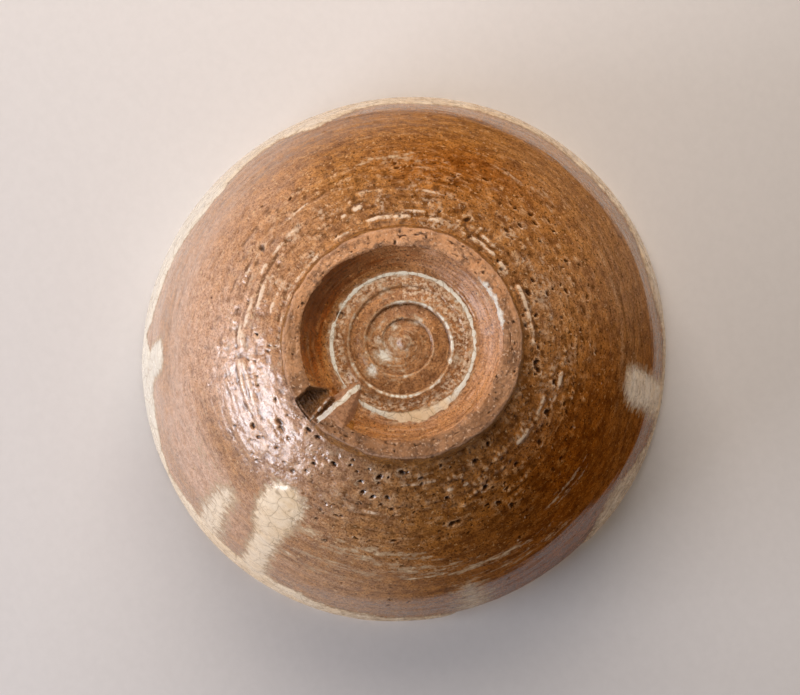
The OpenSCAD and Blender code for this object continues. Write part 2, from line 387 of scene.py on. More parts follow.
def drag_field(dial, s, r):
    """Height of the short dragged ridges, from 0 to 1."""
    height = np.zeros(s.shape)
    for at, way, half, share, slant in DRAGS:
        window, x, y = near_mark(dial, s, r, at, way, 1.6 * half, 0.5 * half + 1.2)
        bent = y - math.tan(math.radians(slant * 0.25)) * x + 0.22 * np.sin(2.6 * x + slant)
        across = np.where(bent > 0, bent / 0.34, bent / 0.7)
        gaps = 0.6 + 0.4 * np.sin(4.2 * x + 2 * slant)
        crest = share * gaps * ease((1 - np.abs(x / half)) / 0.5) * bell(across)
        height[window] = np.maximum(height[window], crest)
    return height


def ridge_field(dial, s, spread):
    """Height in mm of the long turning ridges, and how much of a crest each point is."""
    height, crest = np.zeros((2, *s.shape))
    for at, start, end, tall in TURNING_RIDGES:
        along = turned(dial, (start + end) / 2) / ((end - start) / 2)
        y = s - at - 0.5 * lattice(dial, spread, 24, 1, int(at * 10 + start))
        broken = np.clip(0.5 + 0.75 * lattice(dial, spread, 110, 1, int(start)), 0.1, 1)
        across = np.where(y > 0, y / ridge_w, y / (2.2 * ridge_w))
        here = ease((1 - np.abs(along)) / 0.25) * broken * bell(across)
        height += tall * here
        crest = np.maximum(crest, here * np.exp(-1.2 * across ** 2) * min(1, tall / 0.35))
    return height, crest


def painted_light_tint(dial, spread):
    """Painted light and shade: from 1, pale and pink towards the window, to -1, deep on the far side."""
    cloud = lattice(dial, spread, 12, 6, 27)
    # Paler and pinker towards the window: a painted sheen
    pale = by_dial(dial, 176, 60) * (1 - 0.15 * ease((0.5 - spread) / 0.3))
    # Deeper on the side away from the lamps: a painted shade
    deep = by_dial(dial, 42, 50) * (0.4 + 0.6 * ease((spread - 0.06) / 0.3))
    # Also deeper in a patch near dial 284
    deep += 0.7 * by_dial(dial, 284, 34) * bell((spread - 0.26) / 0.17)
    return np.clip((pale - deep) * (0.85 + 0.35 * cloud) + 0.08 * cloud, -1, 1)


# Painted reflection and sheen on the amber by dial: its reach down from the lip in mm, and its share there
# and on the wall
SHEEN_REACH = [
    (0, 13), (20, 14), (45, 22), (75, 21), (105, 18), (130, 16), (200, 18), (260, 17), (310, 20), (345, 16),
]
SHEEN_BY_LIP = [(0, 0.25), (45, 0.1), (75, 0.2), (105, 0.4), (165, 0.45), (225, 0.6), (285, 0.5), (315, 0.4)]
SHEEN_ON_WALL = [
    (0, 0.2), (15, 0.04), (45, 0.0), (75, 0.1), (105, 0.55), (135, 0.3), (165, 0.3), (195, 0.35),
    (225, 0.42), (255, 0.18), (285, 0.04), (315, 0.22), (345, 0.42),
]


def sheen_edge(dial, spread):
    """Distance s at which the painted reflection under the lip begins."""
    return LIP_START - ring_curve(SHEEN_REACH, dial) + 1.5 * lattice(dial, spread, 9, 1, 28)


def painted_sheen(dial, s, spread):
    """Painted reflection and sheen on the amber, from 0 to 1, strongest under the lip."""
    # Under the lip: a painted reflection of the pale table
    by_lip = ease((s - sheen_edge(dial, spread)) / 4.0) * ring_curve(SHEEN_BY_LIP, dial)
    # On the wall: a painted sheen of the lamps
    on_wall = ring_curve(SHEEN_ON_WALL, dial) * (0.5 + 0.5 * ease((spread - 0.2) / 0.4))
    return np.maximum(by_lip, on_wall) * (0.85 + 0.2 * lattice(dial, spread, 30, 90, 29))


def dim(dial, s, spread):
    """How dull the middle of the wall is, from 0 to 1. The gloss begins again under the lip, in streaks."""
    start = 5 + 11 * np.exp(-(turned(dial, 168) / 62) ** 4)
    end = sheen_edge(dial, spread) + 4.5 + 2.2 * lattice(dial, spread, 40, 60, 37)
    level = 1 - 0.5 * by_dial(dial, 178, 60)
    streaks = 0.7 * ease((s - end + 4) / 4) * ease(lattice(dial, spread, 30, 170, 38) / 0.5)
    return np.maximum(level * ease((s - start) / 9) * ease((end - s) / 8), streaks)


def proud_of(lift, columns, rows, scale):
    """How far each point of a grid stands proud of those round it, from -1 to 1."""
    level = sum(np.roll(lift, k, axis=1) for k in range(-columns, columns + 1)) / (2 * columns + 1)
    padded = np.pad(level, ((rows, rows), (0, 0)), mode="edge")
    level = sum(padded[k:k + len(lift)] for k in range(2 * rows + 1)) / (2 * rows + 1)
    return np.tanh((lift - level) / scale)


def wall_relief(dial, s):
    """Height of the amber coat above the smooth clay, and its marks for the material."""
    r, _, _ = walk(s)
    spread = np.clip(s / LIP_START, 0, 1)
    turned_part = 1 - ease((s - 12) / 26)
    # Throwing rings wind slowly up the wall
    rings = np.cos(2 * np.pi * (s / throwing_pitch - dial / 360)) * throwing_h
    rings *= 0.5 + 0.5 * lattice(dial, spread, 9, 5, 21)
    lift = amber_t + 0.35 + rings
    # Broad unevenness of the hand, then the scored, gritty and lumpy skin of the turned part
    lift += 0.16 * lattice(dial, spread, 14, 7, 22)
    score = lattice(dial, spread, 26, 150, 23) * 0.6 + lattice(dial, spread, 60, 260, 24) * 0.4
    lift += score * (0.03 + 0.045 * turned_part)
    lift += lattice(dial, spread, 300, 110, 25) * (0.015 + 0.025 * turned_part)
    lift += 0.12 * lattice(dial, spread, 120, 42, 26) * (0.25 + 0.75 * turned_part)
    height, crest = ridge_field(dial, s, spread)
    drag = drag_field(dial, s, r)
    depth, burr = pit_field(dial, s, r)
    lift += height + drag_h * drag - pit_depth * depth + burr_h * burr
    torn = 0.75 * (1 - ease((s - 8) / 13)) * (1 - 0.7 * by_dial(dial, 55, 60))
    return np.maximum(lift, 0.02), {
        "pit_and_shade": depth,
        # Pale tops of the ridges and drags, a painted highlight, and pale burrs by the pits
        "ridge": np.maximum.reduce([crest, 0.45 * drag, 0.5 * burr]),
        "torn": torn * ease((lattice(dial, spread, 80, 40, 30) - 0.15) / 0.5),
        # Painted light and shade: paler towards the window, deeper away from the lamps
        "painted_light_tint": painted_light_tint(dial, spread),
        # Painted reflection under the lip and painted sheen on the wall
        "painted_sheen": painted_sheen(dial, s, spread),
        "dim": dim(dial, s, spread),
        # How proud each point stands: raised places painted lighter and hollows darker, painted light and
        # shade
        "proud": proud_of(lift, 5, 3, 0.135),
    }


# Grid of the amber coat, finer towards the foot, and its relief, which the glaze above it follows
coat_columns = 680
COAT_WAYS = np.concatenate([np.linspace(-1.2, 29, 82)[:-1], np.linspace(29, LIP_START + 0.6, 56)])
COAT_DIAL, COAT_S = ring_grid(coat_columns, COAT_WAYS)
COAT_LIFT, COAT_MARKS = wall_relief(COAT_DIAL, COAT_S)


def read_coat(field, dial, s):
    """A field of the coat's grid at any place on it."""
    lanes = np.interp(s, COAT_WAYS, np.arange(len(COAT_WAYS)))
    return between(field, (dial % 360) / 360 * coat_columns, lanes, np.asarray)


# White glaze on the outside

# How far the glaze of the lip reaches down the outside: dial and mm
LIP_BAND = [
    (0, 2), (10, 3), (18, 2), (23, 6), (29, 10.5), (34, 12.5), (39, 10), (43, 4), (47, -1.5), (76, -1.5),
    (82, 2), (92, 2.5), (98, 4.5), (108, 5), (111, 6), (113, 8.5), (121, 8), (132, 7), (144, 6), (150, 3),
    (154, 1.5), (158, 3), (163, 7), (170, 8.5), (181, 8), (185, 2), (189, 7), (197, 10), (203, 11),
    (210, 15), (218, 18),
    (222, 19), (226, 14.5), (232, 12.5), (240, 12), (244, 15), (249, 21), (253, 18), (257, 14), (264, 10),
    (275, 10.5), (288, 8), (300, 7), (312, 7.5), (328, 5.2), (340, 7.5), (347, 7.8), (353, 3.5),
]
# How thick and how cool a white the lip's glaze is: dial and share
LIP_WHITE = [
    (0, 0.62), (40, 0.6), (60, 0.5), (85, 0.6), (108, 0.72), (116, 0.95), (150, 0.9), (165, 1.0), (225, 1.0),
    (240, 0.85), (262, 0.78), (300, 0.72), (340, 0.68),
]
LIP_COOL = [(0, 0.0), (135, 0.0), (150, 0.3), (172, 0.75), (215, 0.7), (235, 0.35), (262, 0.15), (300, 0.05)]
band_edge = 1.3

# Runs of glaze: rows of distance below the lip, dial and half width in mm from root to end, then the
# thickness, the softness of the edge and the whiteness
RUNS = {
    "long_run": ([
        (4, 125.3, 4.6), (9, 125.2, 3.8), (20, 125.8, 3.3), (34, 126.4, 3.2), (43, 127.0, 4.4),
        (49, 127.3, 5.4), (54.5, 127.4, 5.2),
    ], 0.55, 0.85, 1.0),
    "short_run": ([
        (4, 138.4, 4.4), (10, 138.8, 3.9), (19, 139.6, 3.8), (29, 140.4, 3.2), (38, 140.8, 2.4),
        (41, 140.9, 1.6),
    ], 0.34, 1.2, 0.88),
    "right_run": ([(3, 170.0, 6.0), (7, 175.0, 4.6), (12, 178.4, 4.4), (21, 179.5, 4.2)], 0.55, 0.6, 1.0),
    "back_run": ([
        (3, 9.4, 4.8), (10, 9.2, 4.3), (22, 8.6, 4.8), (32, 8.2, 4.6), (36, 7.8, 3.6),
    ], 0.5, 1.0, 0.78),
    "back_lobe": ([(3, 32.0, 6.5), (9, 33.0, 4.6)], 0.4, 1.2, 0.62),
    "side_lobe": ([(3, 249.0, 6.0), (15, 249.0, 3.6)], 0.55, 0.7, 0.85),
    "left_lobe": ([(3, 74.0, 4.4), (12, 73.6, 4.0), (24, 73.8, 2.6)], 0.14, 2.4, 0.62),
}
run_steps = 70
# Grid of a run in mm: margin round it, what its softness adds to that, overlap at its root and the least
# radius of the wall it hangs on, then columns to a degree and lanes to a mm
run_margin = 2.6
soft_margin = 1.2
run_overlap = 1.5
run_least_r = 40
columns_to_degree = 2.4
lanes_to_mm = 2.6


def run_distance(name, dial, s, r):
    """Distance from the edge of a run in mm, less than 0 within it: a row of discs along its middle."""
    rows = np.array(RUNS[name][0])
    steps = np.linspace(0, 1, run_steps)
    ends = np.linspace(0, 1, len(rows))
    nearest = np.full(s.shape, 1e3)
    for below, at, half in zip(*(np.interp(steps, ends, column) for column in rows.T)):
        x = np.radians(turned(dial, at)) * r
        nearest = np.minimum(nearest, np.hypot(x, LIP_START - s - below) - half)
    return nearest


def band_distance(dial, s):
    """Distance from the lower edge of the lip's glaze in mm, less than 0 within it."""
    fray = 0.35 * lattice(dial, 0.0, 130, 1, 31) + 0.25 * lattice(dial, 0.0, 310, 1, 32)
    return (LIP_START - s) - ring_curve(LIP_BAND, dial) - fray


def band_look(dial, band):
    """How white the lip's glaze looks at this distance from its edge."""
    return np.clip(0.5 - band / 1.4, 0, 1) * ring_curve(LIP_WHITE, dial)


def blend_low(a, b, reach):
    """The lower of two distances, with a smooth passage over reach."""
    h = np.clip(0.5 + 0.5 * (b - a) / reach, 0, 1)
    return b + (a - b) * h - reach * h * (1 - h)


def dome(distance, thickness, edge):
    """Thickness of a layer of glaze with a rounded edge."""
    return thickness * (1 - np.exp(np.minimum(distance, 0) / edge))


# Thin veils of white glaze on the wall: dial, s, half lengths round and along, strength
VEILS = [
    (98, 27, 14, 4.0, 0.50), (82, 33, 11, 2.2, 0.60), (118, 26, 7, 3.0, 0.55), (66, 38, 16, 2.4, 0.46),
    (106, 35, 11, 2.4, 0.56), (86, 38, 13, 1.8, 0.6), (118, 42, 14, 5.0, 0.46), (150, 36, 12, 6.0, 0.30),
    (40, 30, 8, 2.4, 0.40), (268, 20, 12, 3.0, 0.30), (310, 26, 16, 3.0, 0.24), (58, 46, 18, 3.0, 0.40),
]


def veil_look(dial, s, r):
    """How white the thin veils make the wall, drawn out into streaks round the bowl."""
    look = np.zeros(s.shape)
    for at, way, half, tall, strength in VEILS:
        x = np.radians(turned(dial, at)) * r / half
        look = np.maximum(look, strength * bell(np.hypot(x, (s - way) / tall)))
    streaks = lattice(dial, s / LIP_START, 90, 110, 35)
    return look * np.clip(0.62 + 0.85 * streaks, 0, 1.3)


def white_fields(dial, s):
    """Thickness of the white glaze, and how white it looks, with the lip's band, the runs and the veils."""
    r, _, _ = walk(s)
    way = s / LIP_START
    near = band_distance(dial, s)
    thick = dome(near, white_t, band_edge)
    look = np.maximum(band_look(dial, near), veil_look(dial, s, r))
    ragged = 0.30 * lattice(dial, way, 260, 60, 33) + 0.25 * lattice(dial, way, 90, 160, 34)
    hairs = lattice(dial, way, 70, 190, 36)
    for name, (_, run_t, soft, whiteness) in RUNS.items():
        distance = run_distance(name, dial, s, r) + ragged * (0.4 + soft)
        near = blend_low(near, distance, 2.0)
        thick = np.maximum(thick, dome(distance, run_t, 2.0))
        fringe = 0.5 - (distance + 0.4 * soft * hairs) / (3.4 * soft + 0.9)
        look = np.maximum(look, whiteness * np.clip(fringe, 0, 1))
    joined = dome(near, np.maximum(thick, 0.05), 0.8)
    return np.maximum(thick, joined), look


# Pieces of the bowl

def coat(glaze):
    """The amber coat of the outer wall."""
    _, look = white_fields(COAT_DIAL, COAT_S)
    low_dial, low_s = ring_grid(coat_columns, np.linspace(COAT_WAYS[0], COAT_WAYS[-1], 6))
    shell = closed_shell(on_bowl(COAT_DIAL, COAT_S, COAT_LIFT), on_bowl(low_dial, low_s, -0.25))
    add_piece("amber_coat", shell, glaze, ["amber_glaze"], {**COAT_MARKS, "white": look})


def run(name, glaze):
    """One run of white glaze. Its borders dip under the coat, so that no edge shows."""
    rows, _, soft, _ = RUNS[name]
    below, middle, half = np.array(rows).T
    margin = run_margin + soft_margin * soft
    widest = np.degrees((half + margin) / run_least_r)
    start = (middle - widest).min()
    end = (middle + widest).max()
    lowest = LIP_START - (below + half).max() - margin
    highest = LIP_START - below[0] + run_overlap
    columns = int((end - start) * columns_to_degree)
    lanes = int((highest - lowest) * lanes_to_mm)
    dial, s = np.meshgrid(np.linspace(start, end, columns), np.linspace(lowest, highest, lanes))
    base = read_coat(COAT_LIFT, dial, s)
    thick, look = white_fields(dial, s)
    r, _, _ = walk(s)
    sides = [np.radians(dial - start) * r, np.radians(end - dial) * r, s - lowest, highest - s]
    dip = 0.16 * (1 - ease(np.minimum.reduce(sides) / margin)) + 0.03
    bare_share = 1 - np.clip(thick / 0.3, 0, 1)
    marks = {mark: read_coat(values, dial, s) * bare_share for mark, values in COAT_MARKS.items()}
    marks["white"] = look
    marks["cool"] = ring_curve(LIP_COOL, dial)
    shell = closed_shell(on_bowl(dial, s, base + thick - dip), on_bowl(dial, s, 0.0), wrap=False)
    add_piece(name + "_skin", shell, glaze, [name], marks)


def lip(glaze):
    """White glaze over the lip, down to its ragged edge outside and a short way down the inside."""
    columns = 720
    inner_reach = 7.0
    outer_margin = 3.2
    dial, share = ring_grid(columns, np.linspace(0, 1, 62))
    low_dial, low_share = ring_grid(columns, np.linspace(0, 1, 9))
    inner_end = LIP_END + inner_reach
    low = LIP_START - ring_curve(LIP_BAND, dial[0]) - outer_margin
    s = low + (inner_end - low) * share
    base = read_coat(COAT_LIFT, dial, np.minimum(s, LIP_START))
    band = band_distance(dial, s)
    outside = base + dome(band, white_t, band_edge) - 0.16 * ease((band + 0.4) / 2.4) - 0.02
    inside = white_t + inner_relief(dial, s) - 0.3 * ease((s - inner_end + 2.5) / 2.5)
    over = ease((s - LIP_START) / (LIP_END - LIP_START))
    lift = outside * (1 - over) + inside * over
    _, look = white_fields(dial, np.minimum(s, LIP_START))
    inner = ease((s - LIP_START - 1.5) / 3)
    marks = {
        "white": np.maximum(look, band_look(dial, band)) * (1 - inner) + inner,
        "cool": ring_curve(LIP_COOL, dial) * (1 - inner) + 0.4 * inner,
    }
    under = on_bowl(low_dial, low + (inner_end - low) * low_share, -0.1)
    shell = closed_shell(on_bowl(dial, s, lift), under)
    add_piece("lip_glaze_skin", shell, glaze, ["lip_glaze"], marks)


def inner_relief(dial, s):
    """Throwing rings and unevenness of the white lining."""
    share = np.clip((s - LIP_END) / (SECTION_END - LIP_END), 0, 1)
    rings = 0.09 * np.cos(2 * np.pi * (s / 8.0 + dial / 360)) * ease((1 - share) / 0.15)
    return rings * ease(share / 0.1) + 0.12 * lattice(dial, share, 11, 8, 41) * ease((1 - share) / 0.2)


def lining(white):
    """White crackle glaze inside the bowl."""
    columns = 480
    ends = (SECTION_END - 0.4, LIP_END + 3.0)
    dial, s = ring_grid(columns, np.linspace(*ends, 118))
    lift = white_t + inner_relief(dial, s) - 0.12 * ease((LIP_END + 5.5 - s) / 2.5)
    low_dial, low_s = ring_grid(columns, np.linspace(*ends, 16))
    shell = closed_shell(on_bowl(dial, s, lift), on_bowl(low_dial, low_s, 0.05), hub=True)
    add_piece("white_lining_skin", shell, white, ["white_lining"], {})


def body(clay):
    """The clay under all the glazes."""
    columns = 240
    dial, s = ring_grid(columns, np.linspace(0.0, SECTION_END - 0.4, 150))
    under_dial, share = ring_grid(columns, np.linspace(1, 0.01, 14))
    under = place(under_dial, (spring_r - 0.4) * share, foot_h + 0.35)
    shell = closed_shell(on_bowl(dial, s, -0.3)[::-1], under[::-1], hub=True)
    add_piece("bowl_clay", shell, clay, ["bowl_body"], {})


# Foot

# Distances of the edges of the resting face from the axis, and how far they are out of round
face_out_r = 26.6
face_in_r = 22.5
FACE_OUT_WAVES = [(2, 0.45, 0), (3, 0.18, 40), (5, 0.10, 10)]
FACE_IN_WAVES = [(1, 0.45, 217), (2, 0.35, 0), (3, 0.2, 95), (5, 0.12, 60)]
# How dark the bare face is: dial and share. Partly the clay's own stain, partly painted shade away from the
# upper window.
FACE_STAIN_AND_SHADE = [(0, 0.78), (90, 0.9), (180, 0.7), (235, 0.1), (270, 0.0), (320, 0.3)]
face_round = 0.9
foot_top = 7.4
well_r = 16.9
well_z = 6.2
well_edge_z = 0.7

# Notch, cut a little askew: places of its edges at the face, depth, and plan widths of its sides
notch_skew = 0.13
notch_slant_edge = -4.7
notch_steep_edge = 3.1
notch_depth = 5.2
notch_lean = 1.7
notch_draft = 0.35
# Where the notch's floor runs out against the well's side: across at a distance along, skew, plan width
notch_far_edge = 3.3
notch_far_along = -22.8
notch_far_skew = 0.66
notch_far_lean = 1.2
# Heights of the cut at which its glaze, its side, its bare clay and its floor begin
cut_glaze = 0.05
cut_side = 0.2
cut_bare = 0.3
cut_floor = 0.6

# Spur of clay that the knife pushed into the well by the notch: its tip and far corner, across and along
spur_tip = (-3.9, -12.6)
spur_corner = (-8.5, -20.6)
spur_rise = 0.64
spur_start = -21.5
no_spur_z = 99.0


def notch_frame(points):
    """Distances across and along the notch."""
    along = points[..., 1]
    return points[..., 0] - notch_skew * (along + 25), along


def notch_slant(across, along):
    """How far down the slanting side of the notch a place is, from 0 to 1, and the wander of the knife."""
    wander = 0.10 * np.sin(along * 1.3) + 0.04 * np.sin(along * 3.7 + 1)
    return (across - notch_slant_edge + wander) / notch_lean, wander


def notch_cut(points):
    """Height to which the notch has cut the foot away, 0 outside it."""
    across, along = notch_frame(points)
    slant, wander = notch_slant(across, along)
    steep = (notch_steep_edge - across + 0.8 * wander) / notch_draft
    far = (notch_far_edge - notch_far_skew * (along - notch_far_along) - across) / notch_far_lean
    floor = notch_depth + 0.2 * np.sin(across * 1.3 + 0.4) - 1.2 * notch_rubble(points)
    return np.where(along < 0, np.clip(np.minimum.reduce([slant, steep, far]), 0, 1) * floor, 0)


def notch_rubble(points):
    """Strip of crumbs that the knife left along the floor of the notch, from 0 to 1."""
    across, along = notch_frame(points)
    crumbs = 0.7 + 0.3 * np.sin(along * 5.2) * np.sin(along * 2.3 + 0.7)
    strip = across + 2.45 - 0.155 * (along + 25)
    return crumbs * bell(strip / 0.42) * ease((-17.2 - along) / 1.5)


def notch_highlight(points):
    """Painted highlight on the slanting side of the notch, which faces the light, out to the tip of the
    spur.
    """
    across, along = notch_frame(points)
    slant, _ = notch_slant(across, along)
    window = ease((along + 26.2) / 1.2) * ease((-12.3 - along) / 1.5)
    patchy = 0.86 + 0.14 * np.sin(along * 2.9) * np.sin(along * 1.1 + across * 3)
    return window * patchy * ease((slant + 0.2) / 0.3) * ease((1.02 - slant) / 0.4)


def spur_height(points):
    """Height of the top of the spur, and a great one well away from it."""
    across, along = notch_frame(points)
    share = (along - spur_tip[1]) / (spur_corner[1] - spur_tip[1])
    edge = spur_tip[0] + (spur_corner[0] - spur_tip[0]) * share
    ramp = np.maximum(0.14, spur_rise * (along - spur_start))
    z = ramp + 2.0 * np.maximum(0, edge - across) + 3.0 * np.maximum(0, across + 3.3)
    near = (along < spur_tip[1] + 0.6) & (along > -25) & (across > -14) & (across < 3)
    return np.where(near, z, no_spur_z)


def bevel_highlight(dial, r, z):
    """Painted highlight on the inner edge of the ring, brightest on one side."""
    along = np.exp(-(turned(dial, 336) / 18) ** 4)
    across = bell((r - 22.7) / 1.15) * ease(2.5 - z)
    return along * across * (0.85 + 0.4 * lattice(dial, z / 8, 150, 10, 59))


def side_of_well(way):
    """Height of the well's sloping side, from the floor at way 0 to the resting face at way 1."""
    return well_z + (well_edge_z - well_z) * (0.25 * way + 0.75 * way ** 1.7)


def section_of_foot():
    """Rows of the ring's section, outside to inside: radius, height and how far it follows each edge."""
    rows = []
    bends = np.linspace(0, math.pi / 2, 9)
    top_r = spring_r + 0.25
    flat_w = face_out_r - face_in_r - 2 * face_round
    for way in np.linspace(0, 1, 22):
        rows.append((top_r + (face_out_r - top_r) * way, foot_top + (face_round - foot_top) * way, way, 0.0))
    for bend in bends[1:]:
        inset = face_round * (1 - math.cos(bend))
        rows.append((face_out_r - inset, face_round * (1 - math.sin(bend)), 1.0, 0.0))
    for way in np.linspace(0, 1, 19)[1:-1]:
        rows.append((face_out_r - face_round - flat_w * way, 0.0, 1 - way, way))
    for bend in bends:
        inset = face_round * (1 - math.sin(bend))
        rows.append((face_in_r + inset, face_round * (1 - math.cos(bend)), 0.0, 1.0))
    # The clay lies a little behind the glaze of the well's side
    for way in np.linspace(1, 0, 22)[1:]:
        rows.append((well_r + (face_in_r - well_r) * way ** 0.9, side_of_well(way) + 0.6, 0.0, way))
    return np.array(rows)


def foot(clay):
    """The ring foot with its bare face, uneven edges and knife-cut notch."""
    rows = section_of_foot()
    section_r, section_z, with_out, with_in = rows.T[:, :, None]
    dial, lane = ring_grid(1200, np.linspace(0, 1, len(rows)))
    # Dents and grit of the face, never below the plane on which it rests
    near_face = ease((2.0 - section_z) / 2.0)
    dents = 0.5 + 0.5 * lattice(dial, lane, 96, 12, 51)
    grit = 0.5 + 0.5 * lattice(dial, lane, 300, 70, 52)
    pocks = np.clip(lattice(dial, lane, 130, 22, 57) - 0.62, 0, 1) / 0.38
    z = section_z + near_face * (0.34 * dents + 0.14 * grit + 0.4 * pocks)
    r = section_r + with_out * waves(FACE_OUT_WAVES, dial) + with_in * waves(FACE_IN_WAVES, dial)
    r = r + 0.24 * lattice(dial, lane, 60, 10, 53) + 0.09 * lattice(dial, lane, 300, 40, 54)
    points = place(dial, r, z)
    cut = notch_cut(points)
    rough = 0.16 * lattice(dial, lane, 420, 50, 55)
    points[..., 2] = np.maximum(points[..., 2], np.where(cut > cut_side, cut + rough, 0))
    rubble = notch_rubble(points)
    bare = ease((1.5 + 0.6 * lattice(dial, lane, 40, 2, 56) - z) / 0.8)
    # Darker away from the upper window, a painted shade, with blotches of the clay's own stain
    stain_and_shade = ring_curve(FACE_STAIN_AND_SHADE, dial) + 0.35 * lattice(dial, lane, 26, 6, 58)
    facet_highlight = notch_highlight(points) * (cut > cut_glaze)
    marks = {
        "bare": np.where(cut > cut_bare, 0.35 + 0.6 * rubble, bare),
        "stain_and_shade": np.clip(stain_and_shade, 0, 1),
        # Dark in the pocks, and on the notch's floor a painted shade
        "pit_and_shade": np.maximum(pocks * near_face, 0.47 * (cut > cut_floor) * (1 - rubble)),
        # Painted highlights: the notch's slanting side, its crumbs and the inner edge of the ring
        "white": np.maximum.reduce([facet_highlight, 0.7 * rubble * (cut > cut_floor), bevel_highlight(dial, r, z)]),
        # Pale line on the rounded outer edge of the face: a painted highlight
        "edge": np.broadcast_to(bell((section_z - 0.35) / 0.3) * (with_out > 0.99), dial.shape),
    }
    top = np.stack([points[0], points[-1]])
    top[..., 2] = np.maximum(top[..., 2], foot_h + 0.9)
    add_piece("foot_ring_clay", closed_shell(points, top), clay, ["foot_ring"], marks)


# Turned spiral in the well

# Radius of the spiral's crest by turns from its start, how white the crest is there, partly a painted
# highlight, and its height
SPIRAL_RADII = [
    (-1.0, 2.2), (-0.3, 4.6), (0.0, 5.85), (0.25, 6.85), (0.5, 7.3), (0.75, 8.8), (0.9, 9.3), (1.0, 9.45),
    (1.25, 11.0), (1.5, 11.9), (1.65, 12.2), (1.9, 13.0), (2.2, 14.2), (2.5, 15.2), (3.2, 18.0),
]
SPIRAL_WHITE_AND_HIGHLIGHT = [
    (-0.2, 0.0), (0.0, 0.3), (0.7, 0.34), (0.88, 0.4), (0.95, 0.95), (1.31, 1.0), (1.325, 0.3), (1.35, 0.3),
    (1.365, 0.9), (1.55, 0.85), (1.72, 0.6), (1.9, 0.3), (2.2, 0.0),
]
SPIRAL_STEP = [(-0.4, 0.0), (0.0, 0.75), (0.6, 0.8), (1.0, 1.0), (1.6, 0.9), (2.1, 0.4), (2.4, 0.0)]
spiral_dial = 270.0
step_h = 1.0
base_z = 6.35
# Where the middles of the spiral, the nub and the small hole in it lie: dial and distance from the axis
spiral_shift = (-50.0, 0.35)
nub_shift = (-40.0, 1.55)
nub_pit_shift = (-24.0, 2.7)
nub_r = 3.6
nub_h = 1.3
pool_r = 16.1
pool_shift = (-50.0, 0.25)
# Half width of the pooled ring of white glaze: dial and mm
POOL_WIDTHS = [
    (0, 0.5), (20, 0.5), (40, 0.72), (58, 1.2), (76, 1.65), (92, 1.25), (112, 0.6), (130, 0.4), (138, 0.12),
    (154, 0.12), (162, 0.45), (180, 0.58), (196, 0.5), (202, 0.12), (208, 0.12), (213, 0.36), (232, 0.5),
    (262, 0.38), (285, 0.44), (305, 0.6), (330, 0.58),
]
# Painted highlights in the well: dial, distance from the axis, radius in mm and strength
FLOOR_HIGHLIGHTS = [
    (152, 4.6, 2.2, 0.85), (140, 9.0, 1.7, 0.8), (230, 13.6, 1.6, 0.5), (252, 13.4, 2.0, 0.5),
    (15, 12.8, 1.8, 0.4), (325, 22.0, 1.0, 0.4), (333, 22.0, 1.2, 0.4), (170, 3.0, 7.5, 0.34),
    (300, 6.5, 1.6, 0.45), (245, 4.2, 1.6, 0.5),
]


def about(dial, r, shift):
    """Dial and radius of points about a centre that lies off the axis."""
    turn = np.radians(dial)
    x = r * np.cos(turn) - shift[1] * math.cos(math.radians(shift[0]))
    y = r * np.sin(turn) - shift[1] * math.sin(math.radians(shift[0]))
    return np.degrees(np.arctan2(y, x)), np.hypot(x, y)


def on_line(rows, x):
    """Value at x on the line through rows of places and values."""
    return np.interp(x, *np.transpose(rows))


def spiral(dial, r):
    """Height of the spiral's steps, from 0 to 1, and the white of their crests.

    From each crest the floor falls slowly outwards, and it climbs steeply to the next crest.
    """
    at, out = about(dial, r, spiral_shift)
    lag = ((at - spiral_dial) % 360) / 360
    raised, white = np.zeros((2, *r.shape))
    steep = 0.13
    for k in range(4):
        turns = lag + k - 1
        inner = on_line(SPIRAL_RADII, turns)
        share = (out - inner) / (on_line(SPIRAL_RADII, turns + 1) - inner)
        here = (share >= 0) & (share < 1)
        fall = on_line(SPIRAL_STEP, turns) * (1 - ease(share / (1 - steep)))
        climb = on_line(SPIRAL_STEP, turns + 1) * ease((share - 1 + steep) / steep)
        raised = np.where(here, fall + climb, raised)
        # The white of the crests is partly white glaze, partly a painted highlight
        white = np.maximum(white, bell((out - inner - 0.05) / 0.42) * on_line(SPIRAL_WHITE_AND_HIGHLIGHT, turns))
    return raised, white


def nub_height(dial, r):
    """Height of the nub in the middle, with the swirl round it and the small hole in it."""
    at, out = about(dial, r, nub_shift)
    _, hole = about(dial, r, nub_pit_shift)
    swirl = 0.16 * np.cos(np.radians(at) - out * 2.2) * bell((out - 2.4) / 1.5)
    return nub_h * np.exp(-1.6 * (out / nub_r) ** 2) + swirl - 0.5 * bell(hole / 0.55)


def floor_highlight(dial, r):
    """How white the painted highlights make the well."""
    glints = np.zeros_like(r)
    for at, distance, size, strength in FLOOR_HIGHLIGHTS:
        _, off = about(dial, r, (at, distance))
        glints = np.maximum(glints, strength * bell(off / size))
    return glints


